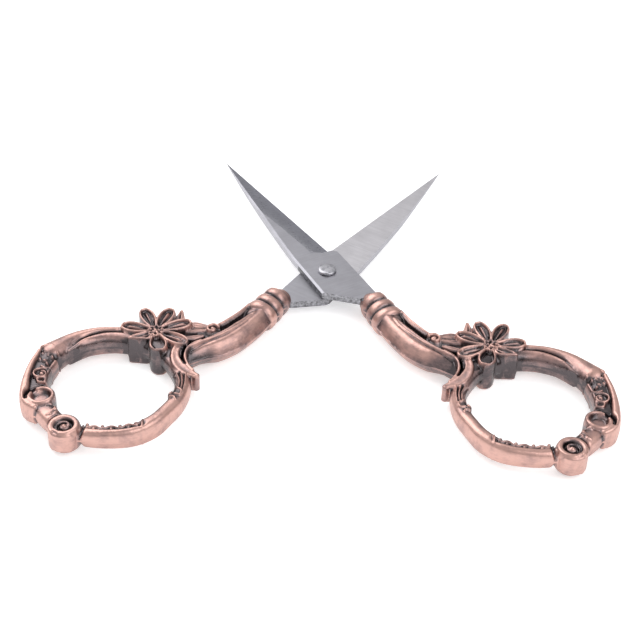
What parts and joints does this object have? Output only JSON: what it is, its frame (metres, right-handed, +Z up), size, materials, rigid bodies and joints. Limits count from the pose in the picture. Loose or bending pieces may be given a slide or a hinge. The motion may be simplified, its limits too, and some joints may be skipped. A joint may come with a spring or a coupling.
{
  "type": "embroidery scissors",
  "caption": "Small embroidery scissors with straight pointed steel blades on a riveted pivot and ornate cast copper-finish handles with flower and scroll relief.",
  "frame": {"origin": "bottom centre of the scissors' box as they lie open, on the surface that they lie on", "axes": "+Y from the handles towards the blade tips, +X from the left handle to the right one, +Z up through the pivot"},
  "size_m": [0.1082, 0.0947, 0.0062],
  "materials": {
    "blade_steel": "satin ground steel with fine grinding marks across the blade",
    "antique_copper": "antique copper plate on a casting, satin pink copper on the high spots and dark gunmetal in the recesses",
    "rivet_steel": "plain turned steel"
  },
  "bodies": {
    "left_half": {"lower_blade": "blade_steel", "left_handle": "antique_copper", "pivot_rivet": "rivet_steel"},
    "right_half": {"upper_blade": "blade_steel", "right_handle": "antique_copper"}
  },
  "joints": [
    {"name": "pivot", "type": "hinge", "parent": "left_half", "child": "right_half", "pos_m": [0, 0.00566, 0.0031], "axis": [0, 0, 1], "range_deg": [-59.4, 30]}
  ]
}
